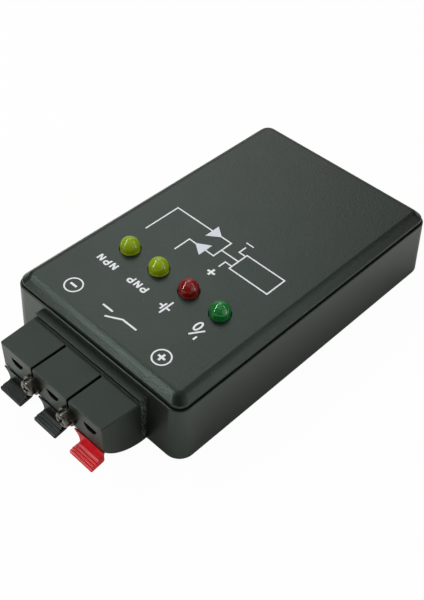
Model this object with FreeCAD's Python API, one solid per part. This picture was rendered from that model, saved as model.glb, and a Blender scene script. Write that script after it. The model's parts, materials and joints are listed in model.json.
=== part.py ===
import FreeCAD, Part
import math
import os

# Hand-held tester for three-wire switching sensors: a moulded two-part case, a three-way lever
# terminal on its front end, four lamps in its lid and a battery behind a sliding door.
# Millimetres, +Z up, origin at the centre of the underside, terminal towards -Y.

Vector = FreeCAD.Vector
axis_x = Vector(1, 0, 0)
axis_y = Vector(0, 1, 0)
axis_z = Vector(0, 0, 1)

# Lower case: its walls lean in towards the rim
case_width = 57.4
case_length = 90.9
case_corner = 4.2
case_lean = 0.9
case_wall = 2.0
case_floor = 2.4
case_bottom_round = 0.8
rim_height = 16.45
rim_round = 0.25
rim_rebate = 1.5

# Lid: an upright side that stands in the rim's rebate, a wide bevel and the flat top
lid_rise = 2.9
lid_side_inset = 1.45
lid_side_rise = 1.05
lid_side_round = 0.4
lid_crease_inset = 3.2
lid_crease_corner = 2.2
lid_crease_round = 2.4
lid_wall = 1.75
lid_plate = 1.8

# Screw posts at the four corners of the case
post_inset = 5.6
post_diameter = 6.6
lid_post_diameter = 6.0
post_split = 8.0
case_screw_shank = 2.6
case_screw_head = 5.0
case_screw_head_height = 1.8
case_screw_bite = 6.0
case_screw_seat = 3.0

# Clearances
seat_gap = 0.15
thread_gap = 0.05
hole_gap = 0.2

# How far a cut runs past a face, and a fused post, leg or nib into its neighbour
cut_over = 1.0
embed = 0.5

# Two heights or places are the same within this, and an edge this steep is upright
same_place = 1e-6
upright_share = 0.9

# Bends and heads: share of the shorter run in a wire's bend, share of a pan head that is round
bend_share = 0.45
pan_round_share = 0.4

# Lamps, 5 mm with a flange
lamp_count = 4
lamp_pitch = 10.0
lamp_row_from_front = 26.2
lamp_diameter = 5.0
lamp_height = 8.7
lamp_flange_diameter = 5.8
lamp_flange_height = 1.0
lamp_flat = 2.5
lamp_proud = 3.2
lamp_hole_gap = 0.15
lamp_hole_round = 0.1
lamp_lead = 0.5
lamp_lead_pitch = 2.54
lamp_lead_tail = 1.0

# Terminal housing
flange_width = 35.8
flange_thickness = 1.8
flange_bottom = 0.1
flange_top = 14.5
housing_depth = 10.5
housing_top = 13.5
housing_face_bottom = 5.7
housing_front_width = 34.7
housing_corner = 0.4
housing_edge_round = 0.25
housing_step_width = 0.7
housing_step_depth = 0.1
way_count = 3
way_pitch = 12.5
way_row_x = 0.2
way_slot = 0.7
way_slot_pitch = 12.2
way_cavity_width = 7.0
way_front_wall = 1.5
way_roof = 1.9
way_skin = 1.3
way_overcut = 0.05
lever_opening_depth = 5.0
wire_hole_radius = 2.1
wire_hole_side = 0.6
wire_hole_past_wall = 0.5

# Back plate in the recess of the flange
back_plate_thickness = 1.0
back_plate_border = 1.05

# Terminal screws, washers and nuts
terminal_screw_shank = 2.5
terminal_screw_head = 4.0
terminal_screw_head_height = 1.6
terminal_screw_z = 8.3
washer_diameter = 5.0
washer_thickness = 0.8
nut_sides = 6
nut_across_flats = 5.0
nut_thickness = 2.0

# Levers
pivot_from_flange = 2.9
pivot_z = 5.0
pivot_diameter = 2.0
pivot_gap = 0.05
pivot_reach = 0.7
pivot_end_gap = 0.1
hub_radius = 1.4
lever_side_gap = 0.3
lever_plate = 1.5
lever_plate_drop = 0.9
lever_plate_foot = 1.5
lever_plate_foot_drop = 0.25
lever_root_width = 9.6
lever_root_gap = 0.15
lever_belly_gap = 0.18
lever_root_proud = 0.3
lever_root_depth = 0.9
lever_neck_width = 6.2
lever_scallop_radius = 2.3
lever_scallop_z = 2.9
lever_pad_width = 7.4
lever_pad_corner = 0.4
lever_pad_reach = 3.2
lever_flare_reach = 0.45
lever_flare_z = 1.95
lever_flare_round = 0.8
lever_tip_top = 0.98
lever_tip_bottom = 0.2
lever_tip_round = 0.3
lever_under_reach = 0.5
lever_under_z = 0.8
lever_under_round = 0.6
lever_back_reach = 1.1
lever_back_z = 2.2
lever_heel_reach = 1.75
lever_heel_z = 3.0
lever_grip_count = 3
lever_grip_radius = 0.3
lever_grip_depth = 0.2
lever_grip_pitch = 0.68
jaw_width = 4.8
jaw_thickness = 1.2
jaw_from_pivot = 2.8
jaw_groove_radius = 0.8

# Contacts and lever springs
contact_thickness = 0.5
contact_width = 4.0
contact_tail_width = 2.4
contact_tail_lap = 2.2
contact_setback = 0.7
jaw_contact_gap = 0.3
spring_strip = 0.36
spring_width = 5.0
spring_seat_gap = 0.2
spring_lever_gap = 0.1
spring_bend_from_pivot = 0.6
spring_tip_from_pivot = 2.0

# Circuit board
board_post_gap = 0.5
board_length = 38.0
board_thickness = 1.6
board_from_wall = 2.85
board_boss_diameter = 4.6
board_boss_inset_x = 2.6
board_boss_inset_front = 6.4
board_boss_inset_rear = 4.0
board_screw_shank = 1.7
board_screw_head = 3.8
board_screw_head_height = 1.4
board_screw_bite = 4.5

# Parts on the board
chip_length = 9.6
chip_width = 6.4
chip_height = 3.2
chip_standoff = 0.6
chip_from_rear = 8.0
chip_leg_pitch = 2.54
chip_leg_pairs = 4
chip_leg_width = 0.5
chip_leg_thickness = 0.25
chip_leg_row = 7.6
chip_notch = 1.6
chip_notch_depth = 0.4
resistor_count = 6
resistor_pitch = 4.0
resistor_diameter = 2.2
resistor_length = 6.0
resistor_span = 9.0
resistor_from_front = 9.4
resistor_standoff = 0.2
resistor_end_round = 0.55
transistor_spacing = 20.0
transistor_from_rear = 11.0
transistor_radius = 2.35
transistor_flat = 1.1
transistor_height = 4.4
transistor_standoff = 1.8
transistor_leg = 0.45
transistor_leg_pitch = 1.27
capacitor_diameter = 5.0
capacitor_height = 5.0
capacitor_round = 0.4
capacitor_from_rear = 3.6
capacitor_x = -9.0
capacitor_lead_pitch = 2.0
lead_diameter = 0.5
lead_tail = 0.9

# Battery, its compartment and its contacts
battery_diameter = 10.3
battery_length = 28.5
battery_nib_diameter = 4.6
battery_nib_length = 1.0
battery_edge_round = 0.5
battery_side_gap = 0.85
battery_end_wall = 2.0
battery_bay_wall = 1.2
battery_bay_roof = 1.2
battery_under_gap = 0.45
battery_over_gap = 0.7
battery_spring_room = 3.5
battery_plate_thickness = 0.5
battery_plate_width = 9.0
battery_plate_height = 8.0
battery_tail_width = 3.0
battery_tail_height = 1.6
battery_wire = 0.6
battery_coil_turns = 2.5
battery_coil_base_radius = 3.6
battery_coil_tip_radius = 2.2
battery_coil_arcs = 4
battery_coil_tests = 10

# Battery door
door_thickness = 1.45
door_lip_height = 0.65
door_tongue = 1.0
door_side_gap = 0.2
door_under_gap = 0.05
door_bay_margin = 1.6
door_front_margin = 1.4
door_grip_count = 5
door_grip_pitch = 1.4
door_grip_width = 9.0
door_grip_cut = 0.6
door_grip_depth = 0.35
door_grip_from_end = 4.0

# Battery leads
battery_lead_diameter = 0.9
battery_lead_hole_x = 4.5
battery_lead_from_rear = 2.0
battery_lead_height = 1.1
battery_lead_tail = 0.6
battery_lead_positive_route = ((0.4, 0),)
battery_lead_negative_route = ((0.2, 0), (0.45, 0.6), (0.75, 1.2))

# Places that follow from the sizes above
front_y = -case_length / 2
rear_y = case_length / 2
lid_top = rim_height + lid_rise
lid_ceiling = lid_top - lid_plate
lid_side_top = rim_height + lid_side_rise
lid_seat_z = rim_height - rim_rebate
rebate_inset = lid_side_inset - seat_gap
rim_lip = rebate_inset - case_lean
lamp_hole = lamp_diameter + 2 * lamp_hole_gap
terminal_seat_y = front_y + case_lean * flange_top / rim_height
flange_front_y = terminal_seat_y - flange_thickness
face_y = flange_front_y - housing_depth
belly_drop = housing_face_bottom - flange_bottom
belly_radius = (housing_depth ** 2 + belly_drop ** 2) / (2 * belly_drop)
belly_z = flange_bottom + belly_radius
pivot_y = flange_front_y - pivot_from_flange
back_plate_y = terminal_seat_y - back_plate_thickness
contact_top = housing_top - way_roof
contact_bottom = contact_top - contact_thickness
board_top = contact_bottom
way_xs = [way_row_x + (i - (way_count - 1) / 2) * way_pitch for i in range(way_count)]
slot_xs = [(i - (way_count - 2) / 2) * way_slot_pitch for i in range(way_count - 1)]
lamp_y = front_y + lamp_row_from_front
lamp_xs = [(i - (lamp_count - 1) / 2) * lamp_pitch for i in range(lamp_count)]
lamp_base_z = lid_top + lamp_proud - lamp_height
board_width = case_width - 2 * post_inset - lid_post_diameter - 2 * board_post_gap
board_front_y = front_y + case_wall + board_from_wall
board_rear_y = board_front_y + board_length
board_bottom = board_top - board_thickness
bay_rear_y = rear_y - case_wall - battery_end_wall
bay_length = battery_length + battery_spring_room + 2 * battery_plate_thickness
bay_front_y = bay_rear_y - bay_length
bay_half = battery_diameter / 2 + battery_side_gap
door_pocket_top = door_thickness + seat_gap + door_under_gap
battery_z = door_pocket_top + battery_under_gap + battery_diameter / 2
bay_top = battery_z + battery_diameter / 2 + battery_over_gap
door_half = bay_half + door_bay_margin
door_front_y = bay_front_y - door_front_margin
post_places = [(sx * (case_width / 2 - post_inset), sy * (case_length / 2 - post_inset))
               for sx in (-1, 1) for sy in (-1, 1)]
boss_places = [(sx * (board_width / 2 - board_boss_inset_x), y) for sx in (-1, 1)
               for y in (board_front_y + board_boss_inset_front, board_rear_y - board_boss_inset_rear)]


# Shapes used by several pieces

def block(x0, x1, y0, y1, z0, z1):
    return Part.makeBox(x1 - x0, y1 - y0, z1 - z0, Vector(x0, y0, z0))


def rod(diameter, start, direction, length):
    return Part.makeCylinder(diameter / 2, length, start, direction)


def rounded_block(width, length, corner, z0, z1):
    solid = block(-width / 2, width / 2, -length / 2, length / 2, z0, z1)
    uprights = [edge for edge in solid.Edges if abs(edge.tangentAt(edge.FirstParameter).z) > upright_share]
    return solid.makeFillet(corner, uprights)


def inset_block(inset, z0, z1):
    return rounded_block(case_width - 2 * inset, case_length - 2 * inset, case_corner - inset, z0, z1)


def edges_at_height(solid, z):
    flat = []
    for edge in solid.Edges:
        box = edge.BoundBox
        if abs(box.ZMin - z) < same_place and abs(box.ZMax - z) < same_place:
            flat.append(edge)
    return flat


def outline_wire(inset, z, corner):
    # The case's rounded outline, drawn in by the inset, as a wire at a height.
    slab = rounded_block(case_width - 2 * inset, case_length - 2 * inset, corner, z, z + cut_over)
    return Part.Wire(Part.__sortEdges__(edges_at_height(slab, z)))


def joined(solids):
    return solids[0].fuse(solids[1:]).removeSplitter() if len(solids) > 1 else solids[0]


def side_prism(edges, x0, x1):
    # A closed outline in the YZ plane, drawn out along X.
    face = Part.Face(Part.Wire(edges))
    face.translate(Vector(x0, 0, 0))
    return face.extrude(Vector(x1 - x0, 0, 0))


def side_point(point):
    return Vector(0, point[0], point[1])


def rounded_outline(points):
    # Edges of a closed YZ polygon whose corners (y, z, radius) are rounded by tangent arcs.
    corners = []
    for i, (y, z, radius) in enumerate(points):
        here = Vector(0, y, z)
        to_last = (side_point(points[i - 1]) - here).normalize()
        to_next = (side_point(points[(i + 1) % len(points)]) - here).normalize()
        half_angle = to_last.getAngle(to_next) / 2
        run = radius / math.tan(half_angle)
        middle = here + (to_last + to_next).normalize() * (radius / math.sin(half_angle) - radius)
        corners.append((here + to_last * run, middle, here + to_next * run, radius))
    edges = []
    for i, (start, middle, end, radius) in enumerate(corners):
        if radius > 0:
            edges.append(Part.Arc(start, middle, end).toShape())
        edges.append(Part.makeLine(end, corners[(i + 1) % len(corners)][0]))
    return edges


def strip_outline(points, thickness):
    # Edges round a bent strip of even thickness, given its centre line in the YZ plane.
    line = [side_point(point) for point in points]
    sides = ([], [])
    for i, here in enumerate(line):
        before = (here - line[i - 1]).normalize() if i > 0 else None
        after = (line[i + 1] - here).normalize() if i < len(line) - 1 else None
        before = before or after
        after = after or before
        along = (before + after).normalize()
        across = Vector(0, -along.z, along.y) * (thickness / 2 / along.dot(after))
        sides[0].append(here + across)
        sides[1].append(here - across)
    ring = sides[0] + sides[1][::-1]
    return [Part.makeLine(ring[i], ring[(i + 1) % len(ring)]) for i in range(len(ring))]


def pan_head(shank, head, head_height, seat, direction, length):
    # A pan-head screw: its shank runs from the seat along the direction, its head the other way.
    core = rod(shank, seat, direction, length)
    dome_round = head_height * pan_round_share
    cap = Part.makeCylinder(head / 2, head_height, seat, -direction)
    far = seat - direction * head_height
    rim = [edge for edge in cap.Edges if edge.Curve.TypeId == "Part::GeomCircle"
           and (edge.Curve.Center - far).Length < same_place]
    return joined([core, cap.makeFillet(dome_round, rim)])


def belly_cylinder(radius, x0, x1):
    return rod(2 * radius, Vector(x0, flange_front_y, belly_z), axis_x, x1 - x0)


def belly_point(radius, y):
    return Vector(0, y, belly_z - math.sqrt(radius ** 2 - (y - flange_front_y) ** 2))


def belly_arc(radius, y0, y1):
    # The round underside of the terminal in side view, or one parallel to it.
    middle = belly_point(radius, (y0 + y1) / 2)
    return Part.Arc(belly_point(radius, y0), middle, belly_point(radius, y1)).toShape()


def chain(points):
    return [Part.makeLine(points[i], points[i + 1]) for i in range(len(points) - 1)]


def lead_tube(points, diameter):
    # A wire along straight runs joined by tangent arcs, each as large as its runs allow.
    line = [Vector(*point) for point in points]
    edges = []
    start = line[0]
    radii = []
    for i in range(1, len(line) - 1):
        to_last = line[i - 1] - line[i]
        to_next = line[i + 1] - line[i]
        shorter = min(to_last.Length, to_next.Length)
        to_last.normalize()
        to_next.normalize()
        half_angle = to_last.getAngle(to_next) / 2
        run = bend_share * shorter
        radius = run * math.tan(half_angle)
        middle = line[i] + (to_last + to_next).normalize() * (radius / math.sin(half_angle) - radius)
        edges.append(Part.makeLine(start, line[i] + to_last * run))
        edges.append(Part.Arc(line[i] + to_last * run, middle, line[i] + to_next * run).toShape())
        start = line[i] + to_next * run
        radii.append(round(radius, 2))
    edges.append(Part.makeLine(start, line[-1]))
    path = Part.Wire(edges)
    section = Part.Wire([Part.makeCircle(diameter / 2, line[0], line[1] - line[0])])
    tube = path.makePipeShell([section], True, False)
    ratio = tube.Volume / (path.Length * math.pi * diameter ** 2 / 4)
    print("lead", round(path.Length, 2), "mm long, bend radii", radii, "volume ratio", round(ratio, 4))
    return tube


# Case

def battery_bay():
    # Outer block and inner space of the battery compartment.
    outer = block(-bay_half - battery_bay_wall, bay_half + battery_bay_wall, bay_front_y - battery_bay_wall,
                  rear_y - case_wall, case_floor, bay_top + battery_bay_roof)
    inner = block(-bay_half, bay_half, bay_front_y, bay_rear_y, 0, bay_top)
    return outer, inner


def door_pocket():
    # The space that the door slides in: a slot in the floor with a groove along both sides.
    end = rear_y + cut_over
    slot = block(-door_half, door_half, door_front_y, end, -cut_over, door_pocket_top)
    groove = block(-door_half - door_tongue, door_half + door_tongue, door_front_y, end,
                   door_lip_height, door_pocket_top)
    return slot.fuse(groove)


def battery_tail_slots():
    half = battery_tail_width / 2 + hole_gap
    deep = battery_plate_thickness + hole_gap
    slots = []
    for y0, y1 in ((bay_front_y, bay_front_y + deep), (bay_rear_y - deep, bay_rear_y)):
        slots.append(block(-half, half, y0, y1, bay_top - cut_over, bay_top + battery_bay_roof + cut_over))
    return slots


def terminal_wall_holes():
    holes = []
    for x in way_xs:
        half = contact_width / 2 + 2 * hole_gap
        holes.append(block(x - half, x + half, front_y - cut_over, front_y + case_wall + cut_over,
                           contact_bottom - 2 * hole_gap, contact_top + 2 * hole_gap))
    for x in slot_xs:
        start = Vector(x, front_y - cut_over, terminal_screw_z)
        holes.append(rod(terminal_screw_shank + 2 * hole_gap, start, axis_y, case_wall + 2 * cut_over))
    return holes


def terminal_seat():
    # The wall leans, so it is cut upright behind the terminal's flange, from below up to the flange's top.
    half = flange_width / 2 + seat_gap
    return block(-half, half, front_y - cut_over, terminal_seat_y, -cut_over, flange_top)


def lower_case():
    foot = outline_wire(0, 0, case_corner)
    rim = outline_wire(case_lean, rim_height, case_corner - case_lean)
    shell = Part.makeLoft([foot, rim], True, True)
    shell = shell.makeFillet(case_bottom_round, edges_at_height(shell, 0))
    shell = shell.makeFillet(min(rim_round, rim_lip), edges_at_height(shell, rim_height))
    shell = shell.cut(inset_block(case_wall, case_floor, rim_height + cut_over))
    shell = shell.cut(inset_block(rebate_inset, lid_seat_z, rim_height + cut_over))
    bay_outer, bay_inner = battery_bay()
    added = [bay_outer]
    cuts = [bay_inner, door_pocket(), terminal_seat()] + battery_tail_slots() + terminal_wall_holes()
    for x, y in post_places:
        added.append(rod(post_diameter, Vector(x, y, case_floor / 2), axis_z, post_split - case_floor / 2))
        under = Vector(x, y, -cut_over)
        cuts.append(rod(case_screw_head + 2 * hole_gap, under, axis_z, case_screw_seat + cut_over))
        cuts.append(rod(case_screw_shank + 2 * hole_gap, under, axis_z, post_split + 2 * cut_over))
    for x, y in boss_places:
        added.append(rod(board_boss_diameter, Vector(x, y, case_floor / 2), axis_z,
                         board_bottom - case_floor / 2))
        bore = Vector(x, y, board_bottom - board_screw_bite - cut_over)
        cuts.append(rod(board_screw_shank + 2 * thread_gap, bore, axis_z, board_screw_bite + 2 * cut_over))
    return joined([shell] + added).cut(cuts)


def lid_shell():
    # The lid's outside, solid: the upright side, the bevel and the flat top.
    side = inset_block(lid_side_inset, lid_seat_z, lid_side_top)
    foot = outline_wire(lid_side_inset, lid_side_top, case_corner - lid_side_inset)
    crease = outline_wire(lid_crease_inset, lid_top, lid_crease_corner)
    bevel = Part.makeLoft([foot, crease], True, True)
    solid = side.fuse(bevel)
    solid = solid.makeFillet(lid_crease_round, edges_at_height(solid, lid_top))
    return solid.makeFillet(lid_side_round, edges_at_height(solid, lid_side_top))


def upper_case():
    shell = lid_shell().cut(inset_block(lid_side_inset + lid_wall, lid_seat_z - cut_over, lid_ceiling))
    posts = []
    cuts = []
    for x, y in post_places:
        posts.append(rod(lid_post_diameter, Vector(x, y, post_split), axis_z,
                         lid_ceiling - post_split + embed))
        cuts.append(rod(case_screw_shank + 2 * thread_gap, Vector(x, y, post_split - cut_over), axis_z,
                        case_screw_bite + 2 * cut_over))
    for x in lamp_xs:
        start = Vector(x, lamp_y, lid_ceiling - cut_over)
        cuts.append(rod(lamp_hole, start, axis_z, lid_plate + 2 * cut_over))
    lid = joined([shell] + posts).cut(cuts)
    hole_rims = [edge for edge in edges_at_height(lid, lid_top) if edge.Curve.TypeId == "Part::GeomCircle"
                 and abs(edge.Curve.Radius - lamp_hole / 2) < same_place]
    return lid.makeFillet(lamp_hole_round, hole_rims)


def case_screws():
    length = post_split - case_screw_seat + case_screw_bite
    return [pan_head(case_screw_shank, case_screw_head, case_screw_head_height,
                     Vector(x, y, case_screw_seat), axis_z, length) for x, y in post_places]


def battery_door():
    half = door_half - door_side_gap
    front = door_front_y + door_side_gap
    top = door_under_gap + door_thickness
    panel = block(-half, half, front, rear_y, door_under_gap, top)
    lower_end = [edge for edge in edges_at_height(panel, door_under_gap)
                 if abs(edge.BoundBox.YMin - rear_y) < same_place]
    panel = panel.makeFillet(case_bottom_round, lower_end)
    tongues = block(-half - door_tongue, half + door_tongue, front, rear_y - case_bottom_round,
                    door_lip_height + seat_gap, top)
    door = joined([panel, tongues])
    cuts = []
    for i in range(door_grip_count):
        y = rear_y - door_grip_from_end - i * door_grip_pitch
        cuts.append(block(-door_grip_width / 2, door_grip_width / 2, y - door_grip_cut, y,
                          0, door_under_gap + door_grip_depth))
    return door.cut(cuts)


# Lamps

def lamp(x):
    radius = lamp_diameter / 2
    shoulder = lamp_height - radius
    flange_radius = lamp_flange_diameter / 2
    up_side = [(0, lamp_height), (0, 0), (flange_radius, 0), (flange_radius, lamp_flange_height),
               (radius, lamp_flange_height), (radius, shoulder)]
    points = [Vector(r, 0, z) for r, z in up_side]
    halfway = Vector(radius * math.sqrt(0.5), 0, shoulder + radius * math.sqrt(0.5))
    dome = Part.Arc(points[-1], halfway, points[0]).toShape()
    body = Part.Face(Part.Wire(chain(points) + [dome])).revolve(points[1], axis_z, 360)
    flat = block(lamp_flat, lamp_flange_diameter, -lamp_flange_diameter, lamp_flange_diameter,
                 -cut_over, lamp_flange_height)
    body = body.cut(flat)
    body.translate(Vector(x, lamp_y, lamp_base_z))
    return body


def lamp_lead_places():
    return [(x + side * lamp_lead_pitch / 2, lamp_y) for x in lamp_xs for side in (-1, 1)]


def lamp_leads():
    half = lamp_lead / 2
    return [block(x - half, x + half, y - half, y + half, board_bottom - lamp_lead_tail, lamp_base_z)
            for x, y in lamp_lead_places()]


# Terminal

def way_cavity(x):
    # The space inside one way, open at the back until the back plate closes it.
    front = face_y + way_front_wall
    rear = back_plate_y + way_overcut
    inner = belly_radius - way_skin
    floor_arc = belly_arc(inner, front, flange_front_y)
    edges = chain([belly_point(inner, flange_front_y), side_point((rear, belly_z - inner)),
                   side_point((rear, contact_top)), side_point((front, contact_top)),
                   belly_point(inner, front)])
    half = way_cavity_width / 2
    return side_prism(edges + [floor_arc], x - half, x + half)


def wire_hole(x):
    # A half-round hole through the front wall, flat side up and level with the contact.
    start = Vector(x, face_y - cut_over, contact_bottom)
    bore = rod(2 * wire_hole_radius, start, axis_y, cut_over + way_front_wall + wire_hole_past_wall)
    return bore.common(block(x - wire_hole_radius, x + wire_hole_radius, face_y - cut_over, front_y,
                             contact_bottom - wire_hole_radius, contact_bottom))


def terminal_housing():
    half_front = housing_front_width / 2
    half_back = flange_width / 2
    plan = [(-half_back, flange_front_y), (-half_front, face_y),
            (half_front, face_y), (half_back, flange_front_y)]
    ring = [Vector(x, y, 0) for x, y in plan]
    column = Part.Face(Part.makePolygon(ring + ring[:1])).extrude(axis_z * housing_top)
    front_edges = [edge for edge in column.Edges if abs(edge.tangentAt(edge.FirstParameter).z) > upright_share
                   and abs(edge.BoundBox.YMin - face_y) < same_place]
    column = column.makeFillet(housing_corner, front_edges)
    side = chain([belly_point(belly_radius, flange_front_y), side_point((flange_front_y, housing_top)),
                  side_point((face_y, housing_top)), belly_point(belly_radius, face_y)])
    side.append(belly_arc(belly_radius, face_y, flange_front_y))
    body = column.common(side_prism(side, -half_back, half_back))
    rim = [edge for edge in edges_at_height(body, housing_top)
           if edge.BoundBox.YMin < flange_front_y - same_place]
    body = body.makeFillet(housing_edge_round, rim)
    flange = block(-half_back, half_back, flange_front_y, terminal_seat_y, flange_bottom, flange_top)
    housing = joined([body, flange])
    border = back_plate_border
    cuts = [block(-half_back + border, half_back - border, back_plate_y, terminal_seat_y + cut_over,
                  flange_bottom + border, flange_top - border),
            block(-half_back, half_back, flange_front_y - housing_step_width, flange_front_y,
                  housing_top - housing_step_depth, housing_top + cut_over)]
    for x in way_xs:
        half = way_cavity_width / 2
        cuts.append(way_cavity(x))
        cuts.append(block(x - half, x + half, face_y - cut_over, face_y + lever_opening_depth,
                          -cut_over, housing_face_bottom))
        cuts.append(wire_hole(x + wire_hole_side))
        reach = half + pivot_reach + pivot_end_gap
        socket = Vector(x - reach, pivot_y, pivot_z)
        cuts.append(rod(pivot_diameter + 2 * pivot_gap, socket, axis_x, 2 * reach))
    slot_end = flange_front_y - housing_step_width
    for x in slot_xs:
        cuts.append(block(x - way_slot / 2, x + way_slot / 2, face_y - cut_over, slot_end,
                          terminal_screw_z, housing_top + cut_over))
        start = Vector(x, face_y - cut_over, terminal_screw_z)
        cuts.append(rod(terminal_screw_shank + 2 * hole_gap, start, axis_y,
                        housing_depth + flange_thickness + 2 * cut_over))
    return housing.cut(cuts)


def terminal_back_plate():
    border = back_plate_border + hole_gap / 2
    plate = block(-flange_width / 2 + border, flange_width / 2 - border, back_plate_y, terminal_seat_y,
                  flange_bottom + border, flange_top - border)
    cuts = []
    for x in way_xs:
        half = contact_width / 2 + hole_gap
        cuts.append(block(x - half, x + half, back_plate_y - cut_over, terminal_seat_y + cut_over,
                          contact_bottom - hole_gap, contact_top + hole_gap))
    for x in slot_xs:
        start = Vector(x, back_plate_y - cut_over, terminal_screw_z)
        cuts.append(rod(terminal_screw_shank + 2 * hole_gap, start, axis_y,
                        back_plate_thickness + 2 * cut_over))
    return plate.cut(cuts)


def lever_outer(x):
    # The part of a lever that shows: a root under the face, a scalloped neck and a ribbed pad.
    root_top = housing_face_bottom - lever_root_gap
    outline = [(face_y + lever_root_depth, root_top, 0),
               (face_y - lever_root_proud, root_top, 0),
               (face_y - lever_flare_reach, lever_flare_z, lever_flare_round),
               (face_y - lever_pad_reach, lever_tip_top, lever_tip_round),
               (face_y - lever_pad_reach, lever_tip_bottom, lever_tip_round),
               (face_y + lever_under_reach, lever_under_z, lever_under_round),
               (face_y + lever_back_reach, lever_back_z, 0),
               (face_y + lever_heel_reach, lever_heel_z, 0)]
    half_root = lever_root_width / 2
    half_pad = lever_pad_width / 2
    left = max(x - half_root, -housing_front_width / 2)
    right = min(x + half_root, housing_front_width / 2)
    solid = side_prism(rounded_outline(outline), left, right)
    tip_y = face_y - lever_pad_reach
    pad = block(x - half_pad, x + half_pad, tip_y, flange_front_y, 0, lever_scallop_z)
    corners = [edge for edge in pad.Edges if abs(edge.tangentAt(edge.FirstParameter).z) > upright_share
               and abs(edge.BoundBox.YMin - tip_y) < same_place]
    beside_pad = block(left, right, tip_y, flange_front_y, 0, lever_scallop_z)
    cuts = [belly_cylinder(belly_radius + lever_belly_gap, left, right),
            beside_pad.cut(pad.makeFillet(lever_pad_corner, corners))]
    for side in (-1, 1):
        scallop = Vector(x + side * (lever_neck_width / 2 + lever_scallop_radius), tip_y, lever_scallop_z)
        cuts.append(rod(2 * lever_scallop_radius, scallop, axis_y, lever_pad_reach + housing_depth))
    pad_run = lever_pad_reach - lever_flare_reach
    pad_slope = (lever_flare_z - lever_tip_top) / pad_run
    for i in range(lever_grip_count):
        from_tip = lever_grip_pitch * (i + 1)
        z = lever_tip_top + from_tip * pad_slope
        groove = Vector(x - half_pad, tip_y + from_tip, z + lever_grip_radius - lever_grip_depth)
        cuts.append(rod(2 * lever_grip_radius, groove, axis_x, 2 * half_pad))
    return solid.cut(cuts)


def lever_plate_points():
    # Side view of the plate that joins the hub to the root, through the opening in the belly.
    end_y = face_y - lever_root_proud / 2
    end_z = pivot_z - lever_plate_drop
    half = lever_plate / 2
    return [(pivot_y, pivot_z + half, 0), (end_y, end_z + half, 0), (end_y, end_z - half, 0),
            (face_y + lever_plate_foot, end_z - half - lever_plate_foot_drop, 0),
            (pivot_y, pivot_z - half, 0)]


def lever(x):
    inner_half = way_cavity_width / 2 - lever_side_gap
    plate = side_prism(rounded_outline(lever_plate_points()), x - inner_half, x + inner_half)
    hub = rod(2 * hub_radius, Vector(x - inner_half, pivot_y, pivot_z), axis_x, 2 * inner_half)
    reach = way_cavity_width / 2 + pivot_reach
    trunnions = rod(pivot_diameter, Vector(x - reach, pivot_y, pivot_z), axis_x, 2 * reach)
    jaw_top = contact_bottom - jaw_contact_gap
    jaw_rear = pivot_y - jaw_from_pivot
    jaw = block(x - jaw_width / 2, x + jaw_width / 2, jaw_rear - jaw_thickness, jaw_rear,
                pivot_z - lever_plate / 2, jaw_top)
    groove = rod(2 * jaw_groove_radius, Vector(x, jaw_rear - jaw_thickness - cut_over, jaw_top), axis_y,
                 jaw_thickness + 2 * cut_over)
    return joined([lever_outer(x), plate, hub, trunnions, jaw.cut(groove)])


def contact(x):
    # A flat blade under the roof of a way; its narrow tail laps the board.
    half = contact_width / 2
    tail_half = contact_tail_width / 2
    wall_inside = front_y + case_wall
    tip = face_y + way_front_wall + contact_setback
    tail_end = board_front_y + contact_tail_lap
    shoulder = wall_inside + contact_setback
    taper_end = shoulder + half - tail_half
    plan = [(x - half, tip), (x + half, tip), (x + half, shoulder), (x + tail_half, taper_end),
            (x + tail_half, tail_end), (x - tail_half, tail_end), (x - tail_half, taper_end),
            (x - half, shoulder)]
    ring = [Vector(px, py, contact_bottom) for px, py in plan]
    return Part.Face(Part.makePolygon(ring + ring[:1])).extrude(axis_z * contact_thickness)


def lever_spring(x):
    # A bent leaf: it lies on the belly wall behind the pivot and lifts the lever's plate.
    half_strip = spring_strip / 2
    bend_y = pivot_y + spring_bend_from_pivot
    bend_floor = belly_point(belly_radius - way_skin, bend_y).z
    tip_y = pivot_y - spring_tip_from_pivot
    last, first = lever_plate_points()[3], lever_plate_points()[4]
    slope = (last[1] - first[1]) / (last[0] - first[0])
    under_plate = first[1] + slope * (tip_y - first[0])
    heel = (back_plate_y - spring_seat_gap, flange_bottom + way_skin + spring_seat_gap + half_strip)
    points = [heel, (bend_y, bend_floor + spring_seat_gap + half_strip),
              (tip_y, under_plate - spring_lever_gap - spring_strip)]
    return side_prism(strip_outline(points, spring_strip), x - spring_width / 2, x + spring_width / 2)


def washer_seat_y():
    return face_y - washer_thickness


def terminal_screws():
    seat = washer_seat_y()
    length = front_y + case_wall + nut_thickness + hole_gap - seat
    return [pan_head(terminal_screw_shank, terminal_screw_head, terminal_screw_head_height,
                     Vector(x, seat, terminal_screw_z), axis_y, length) for x in slot_xs]


def terminal_washers():
    rings = []
    for x in slot_xs:
        start = Vector(x, washer_seat_y(), terminal_screw_z)
        ring = rod(washer_diameter, start, axis_y, washer_thickness)
        rings.append(ring.cut(rod(terminal_screw_shank + hole_gap, start, axis_y, washer_thickness)))
    return rings


def terminal_nuts():
    nuts = []
    corner = nut_across_flats / 2 / math.cos(math.pi / nut_sides)
    for x in slot_xs:
        ring = []
        for i in range(nut_sides + 1):
            angle = 2 * math.pi * i / nut_sides
            ring.append(Vector(x + corner * math.sin(angle), front_y + case_wall,
                               terminal_screw_z + corner * math.cos(angle)))
        hexagon = Part.Face(Part.makePolygon(ring)).extrude(axis_y * nut_thickness)
        bore = rod(terminal_screw_shank + 2 * thread_gap, Vector(x, front_y, terminal_screw_z), axis_y,
                   case_wall + nut_thickness + cut_over)
        nuts.append(hexagon.cut(bore))
    return nuts


# Circuit board and what is soldered to it

def chip_y():
    return board_rear_y - chip_from_rear


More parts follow.
